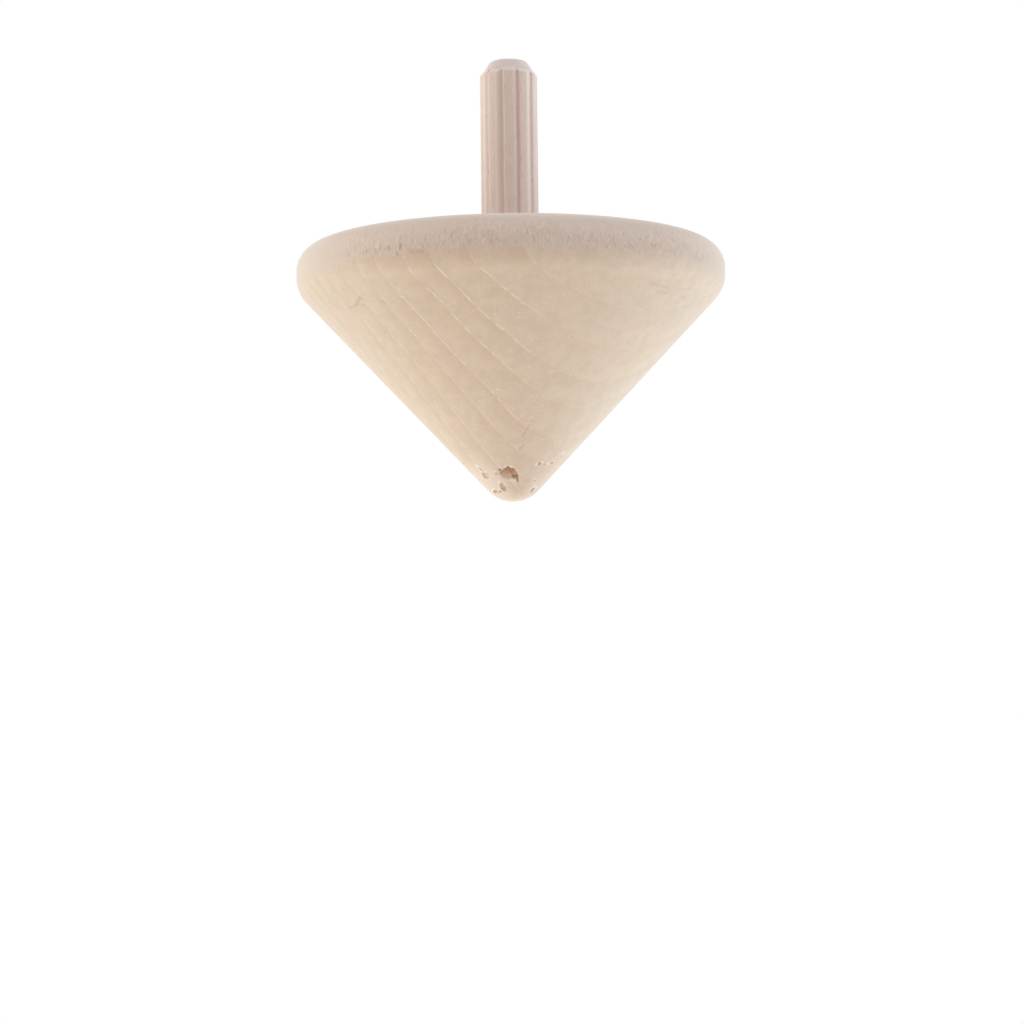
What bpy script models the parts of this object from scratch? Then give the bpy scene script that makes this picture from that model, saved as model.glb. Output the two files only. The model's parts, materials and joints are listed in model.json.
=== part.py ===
"""Wooden spinning top: a turned cone body with a fluted dowel glued into it as the stem.

Sizes are in metres. The tip stands on the origin and the spin axis is +Z.
"""

import math

import bmesh
import bpy

MM = 0.001

# Cone body, turned from one blank
RIM_DIAMETER = 60.0 * MM
CONE_HALF_ANGLE = math.radians(43.3)
TIP_RADIUS = 4.8 * MM
RIM_LOWER_RADIUS = 4.5 * MM
RIM_BAND_HEIGHT = 0.85 * MM
RIM_UPPER_RADIUS = 3.5 * MM

# Fluted dowel, a joinery pin with the same tapered nose on both ends
DOWEL_DIAMETER = 8.0 * MM
DOWEL_LENGTH = 40.0 * MM
DOWEL_EXPOSED_LENGTH = 26.4 * MM
NOSE_LENGTH = 1.3 * MM
NOSE_TAPER = math.radians(30.0)
NOSE_ROUND_RADIUS = 0.8 * MM
NOSE_STEP = 0.22 * MM
LAND_BEVEL = math.radians(40.0)
FLUTE_COUNT = 11
FLUTE_WIDTH = 0.95 * MM
FLUTE_DEPTH = 0.42 * MM
FIRST_FLUTE_ANGLE = math.radians(-107.0)

# Blind hole in the body, made with a twist drill; glue fills the clearance round the dowel
GLUE_CLEARANCE = 0.2 * MM
SEAT_CLEARANCE = 0.3 * MM
DRILL_POINT_ANGLE = math.radians(118.0)

# Facets
BODY_SEGMENTS = 96
ENVELOPE_SEGMENTS = 72
TIP_STEPS = 7
RIM_STEPS = 6
CONE_STEPS = 4
END_ROUND_STEPS = 3
FLUTE_STEPS = 6
LAND_STEPS = 3
MERGE_DISTANCE = 0.01 * MM
CUTTER_MARGIN = 1.0 * MM
SHARP_ANGLE = math.radians(35.0)

# Finish of each bare wood: linear colour, roughness
BODY_WOOD = ((0.69, 0.56, 0.42), 0.62)
DOWEL_WOOD = ((0.61, 0.48, 0.40), 0.58)


def clear_scene():
    """Remove every object of the scene."""
    for item in list(bpy.data.objects):
        bpy.data.objects.remove(item, do_unlink=True)


def new_collection(name):
    """A collection linked to the scene."""
    collection = bpy.data.collections.new(name)
    bpy.context.scene.collection.children.link(collection)
    return collection


def wood(name, finish):
    """A bare wood material from a colour and a roughness."""
    colour, roughness = finish
    material = bpy.data.materials.new(name)
    material.use_nodes = True
    shader = material.node_tree.nodes["Principled BSDF"]
    shader.inputs["Base Color"].default_value = (*colour, 1.0)
    shader.inputs["Roughness"].default_value = roughness
    shader.inputs["Metallic"].default_value = 0.0
    return material


def arc(centre, radius, start, end, steps):
    """Points of an arc in the profile plane, as (distance from the axis, height)."""
    angles = [start + (end - start) * step / steps for step in range(steps + 1)]
    return [(centre[0] + radius * math.cos(a), centre[1] + radius * math.sin(a)) for a in angles]


def between(start, end, steps):
    """Points that split a straight run of the profile, without its two ends."""
    shares = [step / steps for step in range(1, steps)]
    return [tuple(a + (b - a) * share for a, b in zip(start, end)) for share in shares]


def turned(name, profile, segments, collection):
    """A closed solid of revolution from a profile that runs down its outer side."""
    mesh = bpy.data.meshes.new(name)
    edges = [(index, index + 1) for index in range(len(profile) - 1)]
    mesh.from_pydata([(radius, 0.0, height) for radius, height in profile], edges, [])
    piece = bpy.data.objects.new(name, mesh)
    collection.objects.link(piece)
    screw = piece.modifiers.new("Turn", "SCREW")
    screw.axis = "Z"
    screw.steps = segments
    screw.render_steps = segments
    screw.use_merge_vertices = True
    screw.merge_threshold = MERGE_DISTANCE
    screw.use_smooth_shade = True
    return piece


def rim_heights():
    """Heights of the centres of the rim's lower and upper rounding."""
    reach = RIM_DIAMETER / 2 - RIM_LOWER_RADIUS
    # The cone touches the ball of the tip and the ball of the lower rounding.
    growth = (RIM_LOWER_RADIUS - TIP_RADIUS) / math.sin(CONE_HALF_ANGLE)
    lower = TIP_RADIUS + growth + reach / math.tan(CONE_HALF_ANGLE)
    return lower, lower + RIM_BAND_HEIGHT


def top_face_height():
    """Height of the flat top face, where the stem comes out."""
    return rim_heights()[1] + RIM_UPPER_RADIUS


def dowel_seat_height():
    """Height of the dowel's buried end."""
    return top_face_height() + DOWEL_EXPOSED_LENGTH - DOWEL_LENGTH


def nose_radii():
    """Radii of the dowel's nose: at its base, just inside the flutes, and at its end face."""
    base = DOWEL_DIAMETER / 2 - FLUTE_DEPTH - NOSE_STEP
    return base, base - NOSE_LENGTH * math.tan(NOSE_TAPER)


def hole_profile():
    """The blind hole, from its drill point up to its mouth in the top face."""
    radius = DOWEL_DIAMETER / 2 + GLUE_CLEARANCE
    spread = math.tan(DRILL_POINT_ANGLE / 2)
    shoulder = dowel_seat_height() + (radius - nose_radii()[1] - SEAT_CLEARANCE) / spread
    return [(0.0, shoulder - radius / spread), (radius, shoulder), (radius, top_face_height())]


def body_profile():
    """The outside of the body, from its top edge down to the tip."""
    lower, upper = rim_heights()
    reach = RIM_DIAMETER / 2
    edge_centre = (reach - RIM_UPPER_RADIUS, upper)
    top_edge = arc(edge_centre, RIM_UPPER_RADIUS, math.pi / 2, 0.0, RIM_STEPS)
    fillet_centre = (reach - RIM_LOWER_RADIUS, lower)
    fillet = arc(fillet_centre, RIM_LOWER_RADIUS, 0.0, -CONE_HALF_ANGLE, RIM_STEPS)
    tip = arc((0.0, TIP_RADIUS), TIP_RADIUS, -CONE_HALF_ANGLE, -math.pi / 2, TIP_STEPS)
    return top_edge + fillet + between(fillet[-1], tip[0], CONE_STEPS) + tip


def make_body(collection):
    """The cone body, turned and drilled."""
    body = turned("cone_body", hole_profile() + body_profile(), BODY_SEGMENTS, collection)
    body.data.materials.append(wood("body_wood", BODY_WOOD))
    return body


def fluted_section():
    """Outline of the dowel: round lands on the full diameter with a groove between each two."""
    radius = DOWEL_DIAMETER / 2
    pitch = 2 * math.pi / FLUTE_COUNT
    half_groove = FLUTE_WIDTH / 2 / radius
    land = pitch - 2 * half_groove
    points = []
    for flute in range(FLUTE_COUNT):
        centre = FIRST_FLUTE_ANGLE + flute * pitch
        for step in range(FLUTE_STEPS):
            across = -1 + 2 * step / FLUTE_STEPS
            dip = FLUTE_DEPTH * (1 + math.cos(math.pi * across)) / 2
            points.append((radius - dip, centre + half_groove * across))
        for step in range(LAND_STEPS):
            points.append((radius, centre + half_groove + land * step / LAND_STEPS))
    return [(reach * math.cos(angle), reach * math.sin(angle)) for reach, angle in points]


def extruded(name, outline, bottom, top, collection):
    """A closed prism from a flat outline, as a mesh with its caps welded on."""
    curve = bpy.data.curves.new(name, "CURVE")
    curve.dimensions = "2D"
    curve.fill_mode = "BOTH"
    curve.extrude = (top - bottom) / 2
    spline = curve.splines.new("POLY")
    spline.points.add(len(outline) - 1)
    for point, (x, y) in zip(spline.points, outline):
        point.co = (x, y, 0.0, 1.0)
    spline.use_cyclic_u = True
    guide = bpy.data.objects.new(name + "_outline", curve)
    collection.objects.link(guide)
    bpy.context.view_layer.update()
    graph = bpy.context.evaluated_depsgraph_get()
    mesh = bpy.data.meshes.new_from_object(guide.evaluated_get(graph))
    mesh.name = name
    welded = bmesh.new()
    welded.from_mesh(mesh)
    bmesh.ops.translate(welded, verts=welded.verts, vec=(0.0, 0.0, (top + bottom) / 2))
    bmesh.ops.remove_doubles(welded, verts=welded.verts, dist=MERGE_DISTANCE)
    bmesh.ops.recalc_face_normals(welded, faces=welded.faces)
    welded.to_mesh(mesh)
    welded.free()
    piece = bpy.data.objects.new(name, mesh)
    piece.matrix_world = guide.matrix_world
    collection.objects.link(piece)
    bpy.data.objects.remove(guide)
    return piece


def end_profile(end, inward):
    """One end of the dowel: its face, its nose and the bevel of the lands, run on past the diameter."""
    base, tip = nose_radii()
    corner = NOSE_ROUND_RADIUS * math.tan((math.pi / 2 - NOSE_TAPER) / 2)
    centre = (tip - corner, end + inward * NOSE_ROUND_RADIUS)
    face, side = -inward * math.pi / 2, -inward * NOSE_TAPER
    rounding = arc(centre, NOSE_ROUND_RADIUS, face, side, END_ROUND_STEPS)
    reach = DOWEL_DIAMETER / 2 + CUTTER_MARGIN
    depth = NOSE_LENGTH + (reach - base) / math.tan(LAND_BEVEL)
    bevel = [(base, end + inward * NOSE_LENGTH), (reach, end + inward * depth)]
    return [(0.0, end)] + rounding + bevel


def make_dowel(parts, cutters):
    """The fluted dowel, a grooved prism trimmed to its nose at both ends, from its buried end up."""
    profile = end_profile(DOWEL_LENGTH, -1) + end_profile(0.0, 1)[::-1]
    envelope = turned("dowel_envelope", profile, ENVELOPE_SEGMENTS, cutters)
    envelope.hide_render = True
    envelope.display_type = "WIRE"
    ends = (-CUTTER_MARGIN, DOWEL_LENGTH + CUTTER_MARGIN)
    dowel = extruded("fluted_dowel", fluted_section(), *ends, parts)
    dowel.data.shade_smooth()
    dowel.data.set_sharp_from_angle(angle=SHARP_ANGLE)
    dowel.data.materials.append(wood("dowel_wood", DOWEL_WOOD))
    trim = dowel.modifiers.new("Nose at both ends", "BOOLEAN")
    trim.operation = "INTERSECT"
    trim.object = envelope
    envelope.parent = dowel
    return dowel


def main():
    """Build the body on its tip and seat the dowel in its hole."""
    clear_scene()
    parts = new_collection("spinning_top")
    cutters = new_collection("cutters")
    spin_axis = bpy.data.objects.new("spin_axis", None)
    parts.objects.link(spin_axis)
    body = make_body(parts)
    dowel = make_dowel(parts, cutters)
    body.parent = spin_axis
    dowel.parent = spin_axis
    dowel.location.z = dowel_seat_height()


main()
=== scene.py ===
# %% [markdown]
# A bare wooden spinning top
#
# The real top is two pieces of wood: a cone turned on a lathe, and a fluted joinery dowel glued into it
# as the stem. Nothing is painted, so everything the eye reads is wood: growth rings cut across by the
# cone, a rim that the sander missed, and torn grain at the point. This lesson rebuilds both surfaces on
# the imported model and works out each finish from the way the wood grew.

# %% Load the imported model
import json
import math
from functools import partial

import bpy
import numpy as np
from mathutils import Matrix, Vector, noise

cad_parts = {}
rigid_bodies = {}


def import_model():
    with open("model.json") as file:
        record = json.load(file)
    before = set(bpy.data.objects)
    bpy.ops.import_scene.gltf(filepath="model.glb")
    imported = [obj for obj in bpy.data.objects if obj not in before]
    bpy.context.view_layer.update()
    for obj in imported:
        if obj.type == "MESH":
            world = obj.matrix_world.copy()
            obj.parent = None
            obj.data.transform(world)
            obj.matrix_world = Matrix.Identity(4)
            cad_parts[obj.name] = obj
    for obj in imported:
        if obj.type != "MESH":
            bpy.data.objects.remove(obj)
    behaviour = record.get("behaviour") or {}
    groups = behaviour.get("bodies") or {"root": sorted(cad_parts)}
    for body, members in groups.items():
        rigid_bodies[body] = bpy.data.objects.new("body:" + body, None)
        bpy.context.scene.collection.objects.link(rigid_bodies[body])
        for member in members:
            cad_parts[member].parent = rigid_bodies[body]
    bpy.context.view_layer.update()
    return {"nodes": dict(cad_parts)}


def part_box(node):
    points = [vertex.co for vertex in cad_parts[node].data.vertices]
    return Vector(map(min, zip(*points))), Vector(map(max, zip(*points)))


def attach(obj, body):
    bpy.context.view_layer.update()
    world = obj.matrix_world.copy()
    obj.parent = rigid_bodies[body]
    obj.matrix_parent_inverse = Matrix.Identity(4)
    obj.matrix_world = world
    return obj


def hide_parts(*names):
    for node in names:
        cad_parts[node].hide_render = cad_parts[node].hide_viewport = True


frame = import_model()
print("packed pieces:", sorted(frame["nodes"]))

# %% [markdown]
# Sizes
#
# The rim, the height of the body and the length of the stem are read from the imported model, so the new
# surfaces land on the old ones. The roundings can't be read from a box, so they are named here.

# %% Sizes of the two pieces
MM = 0.001
body_low, body_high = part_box("cone_body")
dowel_low, dowel_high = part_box("fluted_dowel")
RIM_RADIUS = (body_high[0] - body_low[0]) / 2
TOP_HEIGHT = body_high[2]
DOWEL_RADIUS = 4.0 * MM
DOWEL_BOTTOM, DOWEL_TOP = dowel_low[2], dowel_high[2]
CONE_HALF_ANGLE = math.radians(43.3)
CONE_SIN, CONE_COS = math.sin(CONE_HALF_ANGLE), math.cos(CONE_HALF_ANGLE)
TIP_RADIUS = 4.8 * MM
RIM_UPPER_RADIUS = 3.5 * MM
RIM_LOWER_RADIUS = 4.5 * MM
RIM_BAND_HEIGHT = 0.85 * MM
FILLET_HEIGHT = TOP_HEIGHT - RIM_UPPER_RADIUS - RIM_BAND_HEIGHT
TIP_TANGENT = TIP_RADIUS * (1 - CONE_SIN)
print(f"rim {2 * RIM_RADIUS / MM:.1f} mm, body {TOP_HEIGHT / MM:.1f} mm, stem top {DOWEL_TOP / MM:.1f} mm")

# %% [markdown]
# Small helpers for node trees
#
# Shaders and Geometry Nodes share their maths nodes, so one set of helpers serves both. Each helper adds
# a node to the tree that its sockets belong to, feeds it with sockets or plain numbers, and hands back
# the socket that comes out. That keeps the recipes below as short as the sums they stand for.

# %% Node helpers
NUMBER, VECTOR = "NodeSocketFloat", "NodeSocketVector"
MIX_AMOUNT, MIX_UNDER, MIX_OVER, MIX_RESULT = 0, 6, 7, 2


def feed(source, target):
    """Link a socket into an input, or set the input to a plain value or colour."""
    if isinstance(source, bpy.types.NodeSocket):
        source.id_data.links.new(source, target)
    else:
        target.default_value = (*source, 1.0) if target.type == "RGBA" else source


def new_node(tree, kind, **settings):
    """A new node with its settings."""
    node = tree.nodes.new(kind)
    for name, value in settings.items():
        setattr(node, name, value)
    return node


def feed_all(node, sources):
    """Feed the inputs of a node by place or by name."""
    for key, source in sources.items():
        feed(source, node.inputs[key])


def fed(kind, sources, **settings):
    """The outputs of a new node that is fed by place or by name."""
    pairs = dict(sources if isinstance(sources, dict) else enumerate(sources))
    tree = next(source.id_data for source in pairs.values() if isinstance(source, bpy.types.NodeSocket))
    node = new_node(tree, kind, **settings)
    feed_all(node, pairs)
    return node.outputs


def calc(operation, *inputs, clamp=False):
    """A maths node on numbers."""
    return fed("ShaderNodeMath", inputs, operation=operation, use_clamp=clamp)["Value"]


def times(*factors):
    """The product of several numbers."""
    product = factors[0]
    for factor in factors[1:]:
        product = calc("MULTIPLY", product, factor)
    return product


def vector_calc(operation, *inputs):
    """A maths node on vectors; a length or a dot product comes out as a number."""
    output = "Value" if operation in ("LENGTH", "DOT_PRODUCT") else "Vector"
    return fed("ShaderNodeVectorMath", inputs, operation=operation)[output]


# Plain names for the sums that are used most
plus, minus, divided = (partial(calc, name) for name in ("ADD", "SUBTRACT", "DIVIDE"))
lesser, greater, times_plus = (partial(calc, name) for name in ("MINIMUM", "MAXIMUM", "MULTIPLY_ADD"))
vector_plus, vector_minus = (partial(vector_calc, name) for name in ("ADD", "SUBTRACT"))
distance, unit, dot = (partial(vector_calc, name) for name in ("LENGTH", "NORMALIZE", "DOT_PRODUCT"))


def scaled(vector, amount):
    """A vector times a number."""
    return fed("ShaderNodeVectorMath", {"Vector": vector, "Scale": amount}, operation="SCALE")["Vector"]


def level(vector):
    """A vector without its height."""
    return vector_calc("MULTIPLY", vector, (1, 1, 0))


def step(value, low, high, start=0.0, end=1.0):
    """A soft step: start below low, end above high, smooth between."""
    sources = {"Value": value, "From Min": low, "From Max": high, "To Min": start, "To Max": end}
    return fed("ShaderNodeMapRange", sources, interpolation_type="SMOOTHSTEP")["Result"]


def hump(value, middle, reach):
    """A soft hump: one at the middle, none further away than its reach."""
    return step(calc("ABSOLUTE", minus(value, middle)), 0.0, reach, 1.0, 0.0)


def mottle(vector, scale, detail=2.0, roughness=0.5, shift=None):
    """A noise pattern with values round one half, moved where a shift is given."""
    if shift:
        vector = vector_plus(vector, shift)
    sources = {"Vector": vector, "Scale": scale, "Detail": detail, "Roughness": roughness}
    return fed("ShaderNodeTexNoise", sources)["Fac"]


def wobble(vector, scale, detail=2.0, roughness=0.5):
    """A noise pattern with values round zero."""
    return minus(mottle(vector, scale, detail, roughness), 0.5)


def chance(key, offset=0.0):
    """A fixed random value between 0 and 1 for a whole number; each offset gives it another one."""
    return fed("ShaderNodeTexWhiteNoise", {"W": plus(key, offset)}, noise_dimensions="1D")["Value"]


def tint(mode, amount, under, over):
    """Mix two colours."""
    sources = {MIX_AMOUNT: amount, MIX_UNDER: under, MIX_OVER: over}
    return fed("ShaderNodeMix", sources, data_type="RGBA", blend_type=mode)[MIX_RESULT]


def blend(under, over, *masks):
    """Lay one colour over another, as strongly as its masks and strengths say together."""
    return tint("MIX", times(*masks), under, over)


def shade(colour, tone, mask=1.0):
    """Darken or lighten a colour by a factor."""
    return tint("MULTIPLY", mask, colour, joined(tone, tone, tone))


def split(vector):
    """The three parts of a vector."""
    return fed("ShaderNodeSeparateXYZ", (vector,))


def joined(x, y, z):
    """A vector from its three parts."""
    return fed("ShaderNodeCombineXYZ", (x, y, z))["Vector"]


def new_group(name, inputs, outputs, kind="ShaderNodeTree"):
    """A node group from a socket type or a number for each input, with what it is given and returns."""
    tree = bpy.data.node_groups.new(name, kind)
    for label, value in inputs.items():
        plain = isinstance(value, float)
        socket = tree.interface.new_socket(label, in_out="INPUT", socket_type=NUMBER if plain else value)
        if plain:
            socket.default_value = value
    for label, socket_type in outputs.items():
        tree.interface.new_socket(label, in_out="OUTPUT", socket_type=socket_type)
    return tree, new_node(tree, "NodeGroupInput").outputs, new_node(tree, "NodeGroupOutput").inputs


print("node helpers ready")

# %% [markdown]
# Growth rings
#
# A tree grows in sleeves, one a year, round its pith. The cone cuts across those sleeves, so one rule
# gives every line on it: the distance of a point from the pith, counted in ring widths. Each ring darkens
# slowly towards its outside and ends in a thin pale line. The rule works in space, so unlike a painted
# texture its lines meet up over the rim, on the flat top and in the point by themselves. Where the cut
# runs along a sleeve the line spreads out and fades, and the rule knows that too, because the sleeve and
# the cone then face the same way. Good and bad years make wide and narrow rings, so a curve built from
# the widths of the years turns the distance into a ring number.

# %% Growth ring group
YEARS = (2.8, 3.1, 2.6, 2.9, 3.0, 2.7, 2.9, 3.1, 2.8, 2.9, 3.0, 3.3, 3.5, 2.9, 3.9, 3.1, 3.9, 4.3, 3.8, 4.0)
YEAR_MEAN = sum(YEARS) / len(YEARS)
# Shares of a year where the late wood and the pale line begin and end
LATE_BEGINS = (0.10, 0.96)
LATE_ENDS = (0.92, 0.96, 1.0, 0.0)
LATE_CURVE = 1.6
LINE_BEGINS = (0.92, 0.955)
LINE_ENDS = (0.975, 1.0, 1.0, 0.0)
LINE_BREAKS = (0.40, 0.60, 0.15, 1.0)
# How much the sleeve and the cone face the same way
ALONG_SLEEVE = (0.80, 0.93)
PITH_SIDE = (-0.5, 0.6)
LINE_FADE = 0.92
LATE_KEPT = 0.55


def ring_number(share):
    """The number of rings passed at a share of the way through all the years."""
    node = new_node(share.id_data, "ShaderNodeFloatCurve")
    points = node.mapping.curves[0].points
    for number in range(1, len(YEARS)):
        points.new(sum(YEARS[:number]) / sum(YEARS), number / len(YEARS))
    for point in points:
        point.handle_type = "VECTOR"
    node.mapping.update()
    feed(share, node.inputs["Value"])
    return times(node.outputs["Value"], float(len(YEARS)))


def make_growth_rings():
    """The group that finds the late wood and the pale lines."""
    tree, given, result = new_group(
        "growth_rings",
        {"Position": VECTOR, "Pith": VECTOR, "First Ring": 0.0, "Ring Width": 3.0 * MM, "Wander": 0.3 * MM,
         "Fade": LINE_FADE},
        {"Late Wood": NUMBER, "Ring Line": NUMBER})
    position, fade = given["Position"], given["Fade"]
    flat = level(position)
    across = vector_minus(flat, given["Pith"])
    reach = times_plus(wobble(position, 160.0), given["Wander"], distance(across))
    span = times(given["Ring Width"], float(len(YEARS)))
    count = ring_number(divided(minus(reach, given["First Ring"]), span))
    phase = calc("FRACT", count)
    vigour = times_plus(chance(calc("FLOOR", count)), 0.5, 0.5)
    facing = dot(unit(across), unit(flat))
    crisp = times(step(facing, *ALONG_SLEEVE, 1.0, minus(1.0, fade)),
                  step(facing, *PITH_SIDE, times_plus(fade, -0.5, 1.0), 1.0))
    broken = step(mottle(position, 800.0), *LINE_BREAKS)
    late = times(calc("POWER", step(phase, *LATE_BEGINS), LATE_CURVE), step(phase, *LATE_ENDS), vigour)
    line = times(step(phase, *LINE_BEGINS), step(phase, *LINE_ENDS))
    feed(times(late, step(crisp, 0.0, 1.0, LATE_KEPT, 1.0)), result["Late Wood"])
    feed(times(line, vigour, crisp, broken), result["Ring Line"])
    return tree


growth_rings = make_growth_rings()
print("made group", growth_rings.name)

# %% [markdown]
# Fibres and pores
#
# Wood is a bundle of tubes that run up the tree. A noise squeezed across the fibres and drawn out along
# them gives fine streaks on a side-grain face and small dots where the tubes are cut across, with no need
# to tell the faces apart. The pores are the few tubes wide enough to see: the tail of the same kind of
# noise. The shift moves the pattern, so that two layers don't fall on the same tubes.

# %% Fibre group
PORE_SHIFT = (31.7, 12.9, 5.3)
PORE_TAIL = (0.60, 0.72)


def make_fibres():
    """The group that draws streaks and pores along the fibres."""
    tree, given, result = new_group(
        "wood_fibres",
        {"Position": VECTOR, "Fibre Width": 0.2 * MM, "Fibre Length": 3.0 * MM, "Shift": VECTOR},
        {"Streaks": NUMBER, "Pores": NUMBER})
    x, y, z = split(given["Position"])
    width, length = given["Fibre Width"], given["Fibre Length"]
    squeezed = joined(divided(x, width), divided(y, width), divided(z, length))
    bundle = vector_plus(squeezed, given["Shift"])
    feed(mottle(bundle, 1.0, 3.0, 0.6), result["Streaks"])
    feed(step(mottle(bundle, 1.0, 1.0, shift=PORE_SHIFT), *PORE_TAIL), result["Pores"])
    return tree


wood_fibres = make_fibres()
print("made group", wood_fibres.name)

# %% [markdown]
# Marks in the wood
#
# A few single marks give a piece of wood its face: a brown fleck, a stained streak, a hair crack. Each is
# a short stroke with a soft, ragged edge, and the group below draws one wherever it is placed.

# %% Stroke group
def make_stroke():
    """The group that draws one stroke."""
    tree, given, result = new_group(
        "grain_mark",
        {"Position": VECTOR, "Start": VECTOR, "End": VECTOR, "Width": 0.3 * MM, "Raggedness": 0.2 * MM},
        {"Mark": NUMBER})
    way = vector_minus(given["End"], given["Start"])
    gone = vector_minus(given["Position"], given["Start"])
    share = divided(dot(gone, way), dot(way, way), clamp=True)
    gap = distance(vector_minus(gone, scaled(way, share)))
    ragged = times_plus(wobble(given["Position"], 2600.0, 3.0, 0.6), given["Raggedness"], gap)
    feed(step(ragged, 0.0, given["Width"], 1.0, 0.0), result["Mark"])
    return tree


grain_mark = make_stroke()
print("made group", grain_mark.name)

# %% Places on the body
def arc_reach(radius, drop):
    """How far an arc reaches out, above or below its centre."""
    return math.sqrt(max(0.0, radius ** 2 - drop ** 2))


def profile_radius(height):
    """Radius of the turned body at a height on its outside."""
    band_top = FILLET_HEIGHT + RIM_BAND_HEIGHT
    if height < TIP_TANGENT:
        return arc_reach(TIP_RADIUS, TIP_RADIUS - height)
    if height > band_top:
        return RIM_RADIUS - RIM_UPPER_RADIUS + arc_reach(RIM_UPPER_RADIUS, height - band_top)
    if height > FILLET_HEIGHT:
        return RIM_RADIUS
    if height > FILLET_HEIGHT - RIM_LOWER_RADIUS * CONE_SIN:
        return RIM_RADIUS - RIM_LOWER_RADIUS + arc_reach(RIM_LOWER_RADIUS, FILLET_HEIGHT - height)
    return (height - TIP_RADIUS + TIP_RADIUS / CONE_SIN) * math.tan(CONE_HALF_ANGLE)


def on_body(azimuth, height):
    """The point of the body's outside at degrees to the right of the front, and mm above the tip."""
    angle = math.radians(azimuth)
    radius = profile_radius(height * MM)
    return Vector((radius * math.sin(angle), -radius * math.cos(angle), height * MM))


print("front of the rim:", tuple(round(value / MM, 1) for value in on_body(0, 31)))

# %% [markdown]
# Materials start alike
#
# A material here is one Principled shader that reads the object's own coordinates. The groups above feed
# it with colours, masks and heights, and what is the same all over, such as sheen, is set on the shader
# itself. The sheen stands for the fuzz of bare wood, which pales at a grazing angle.

# %% Material helpers
FUZZ_TINT = (1.0, 0.95, 0.88)
FUZZ_ROUGHNESS = 0.35
# Where most values of a noise and of a fibre pattern lie
NOISE_RANGE = (0.35, 0.65)
STREAK_RANGE = (0.25, 0.75)


def place(position, group, **values):
    """Put a node group in a material with its own values, and return its outputs."""
    sources = {name.replace("_", " "): value for name, value in values.items()}
    return fed("ShaderNodeGroup", {"Position": position, **sources}, node_tree=group)


def fibres(position, width, length, shift=(0.0, 0.0, 0.0)):
    """Streaks and pores of fibres with a width and a length in mm."""
    return place(position, wood_fibres, Fibre_Width=width * MM, Fibre_Length=length * MM, Shift=shift)


def new_material(name):
    """An empty material, with its tree, its shader and its object coordinates."""
    material = bpy.data.materials.new(name)
    material.use_nodes = True
    tree = material.node_tree
    position = new_node(tree, "ShaderNodeTexCoord").outputs["Object"]
    return material, tree, tree.nodes["Principled BSDF"], position


def bump(shader, *layers):
    """Feed patterns, each with its height in mm, to a shader as one bump."""
    relief = 0.0
    for pattern, height in layers:
        relief = times_plus(pattern, height, relief)
    sources = {"Strength": 1.0, "Distance": MM, "Height": relief}
    feed(fed("ShaderNodeBump", sources)["Normal"], shader.inputs["Normal"])


def attribute(tree, name):
    """A number stored on the mesh."""
    return new_node(tree, "ShaderNodeAttribute", attribute_name=name).outputs["Fac"]


def fuzz(shader, weight):
    """The pale bloom of bare wood at a grazing angle."""
    feed_all(shader, {"Sheen Weight": weight, "Sheen Roughness": FUZZ_ROUGHNESS, "Sheen Tint": FUZZ_TINT})


def mix_shaders(mask, first, second, output):
    """Send a mix of two shaders to an output node."""
    feed(fed("ShaderNodeMixShader", (mask, first, second))["Shader"], output.inputs["Surface"])


print("material helpers ready")

# %% [markdown]
# The body's wood
#
# The cone is a pale, even wood with faint rings. Its pith lay about 107 mm behind and to the left of the
# spin axis, which is why the rings slant across the front and level out on the right. Their lines are
# faintest on the left and just under the rim, where the cone also gets painted light. The sander smoothed
# the cone but not the rim, so above a line on the lower rounding the wood is greyer and full of small pits
# and lifted fibres; the pits and the low rim get painted shade, the right and the top of the rim get
# painted shade too, and its middle gets a painted lit band. A pale glow of painted light lies at the left
# of the tip. Torn and raised wood is read from two numbers stored on the mesh when the tip is made, further
# down.
#
# Most changes of tone are soft steps over a height, or over a distance to the right of the axis. Each has
# a name below, with where it starts and ends in mm, and then its values before and after if they aren't 0
# and 1. A layer of fibres has its width and its length in mm, and a shift if it needs one.

# %% Colours and marks of the body
PITH = (-71.7 * MM, 79.4 * MM, 0.0)
FIRST_RING = 75.2 * MM
RING_WIDTH = YEAR_MEAN * MM
RING_WANDER = 0.8 * MM
TOOL_FEED = 0.45 * MM
CONE_OCHRE = (0.630, 0.510, 0.379)
CONE_ROSE = (0.642, 0.498, 0.383)
CONE_BROWN = (0.600, 0.455, 0.325)
LATE_WOOD = (0.560, 0.390, 0.272)
RING_PALE = (0.775, 0.662, 0.525)
PALE_FIBRE = (0.820, 0.735, 0.630)
RIM_WOOD = (0.682, 0.553, 0.446)
SHADED_RIM_RIGHT = (0.645, 0.512, 0.404)
RIM_LIT = (1.060, 1.050, 1.065)
RIM_SHADE = (0.950, 0.910, 0.885)
# Dark colour of the painted shade in the rim's pits and over its low band
RIM_PIT_SHADE = (0.420, 0.305, 0.240)
END_GRAIN = (0.590, 0.460, 0.340)
END_RING = (0.440, 0.310, 0.210)
TORN_WOOD = (0.550, 0.310, 0.178)
# Deep torn wood, which also serves as the painted shade under the upper end of a hole
TORN_DEEP_AND_SHADE = (0.410, 0.250, 0.150)
STAIN = (0.470, 0.290, 0.200)

# Cone
FINE_FIBRES, COARSE_FIBRES = (0.20, 0.9), (0.42, 2.6)
FINE_TONE = (0.965, 1.035)
BLOTCHES = (0.30, 0.70, 0.96, 1.04)
BROWN_UP = (9.0, 16.0)
BROWN_MIDDLE, BROWN_REACH = -11.0, 12.0
DARKER_UP = (17.0, 26.0, 1.0, 0.965)
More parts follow.
